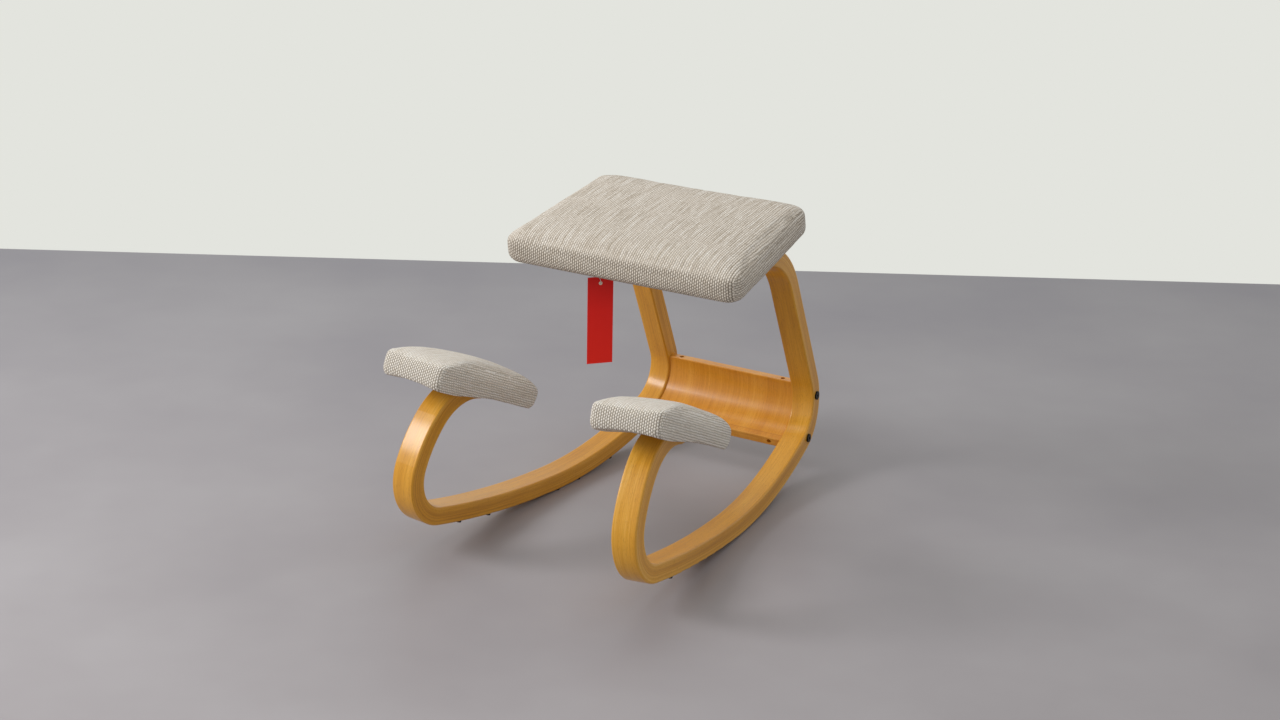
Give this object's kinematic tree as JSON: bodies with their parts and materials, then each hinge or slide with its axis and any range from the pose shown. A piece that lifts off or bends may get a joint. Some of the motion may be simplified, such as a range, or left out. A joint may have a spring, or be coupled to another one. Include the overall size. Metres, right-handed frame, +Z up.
{
  "type": "rocking kneeling chair",
  "caption": "Rocking kneeling chair with moulded laminated beech runners, an upholstered seat that slopes forward, separate knee pads and a curved plywood crossbar.",
  "frame": {"origin": "centre of the footprint, on the floor under the glides", "axes": "+X to the sitter's left, +Y to the back of the seat, +Z up; the sitter faces -Y"},
  "size_m": [0.4804, 0.7184, 0.5048],
  "materials": {
    "beech": "clear honey lacquer over laminated beech",
    "plywood": "raw birch plywood",
    "foam": "open-cell seat foam",
    "seat_fabric": "beige flecked coarse weave",
    "black_steel": "black oxide",
    "zinc_steel": "bright zinc plate",
    "staple_steel": "galvanised wire",
    "black_plastic": "moulded",
    "red_card": "printed card, satin varnish",
    "eyelet_plastic": "moulded",
    "clear_nylon": "translucent nylon"
  },
  "bodies": {
    "frame": {"left_runner": "beech", "right_runner": "beech", "crossbar_panel": "beech", "crossbar_bolts": "black_steel", "barrel_nuts": "zinc_steel", "seat_board": "plywood", "seat_foam": "foam", "seat_cover": "seat_fabric", "seat_screws": "zinc_steel", "seat_tee_nuts": "zinc_steel", "seat_staples": "staple_steel", "left_knee_board": "plywood", "right_knee_board": "plywood", "left_knee_foam": "foam", "right_knee_foam": "foam", "left_knee_cover": "seat_fabric", "right_knee_cover": "seat_fabric", "knee_screws": "zinc_steel", "knee_tee_nuts": "zinc_steel", "runner_glides": "black_plastic"},
    "fastener": {"tag_fastener": "clear_nylon"},
    "tag": {"hang_tag": "red_card", "tag_eyelet": "eyelet_plastic"}
  },
  "joints": [
    {"name": "fastener_swing", "type": "hinge", "parent": "frame", "child": "fastener", "pos_m": [-0.052, -0.02327, 0.41379], "axis": [0.6743, 0.7385, 0], "range_deg": [-45, 45]},
    {"name": "tag_swing", "type": "hinge", "parent": "fastener", "child": "tag", "pos_m": [-0.052, -0.02327, 0.39179], "axis": [-0.7385, 0.6743, 0], "range_deg": [-25, 25]}
  ]
}
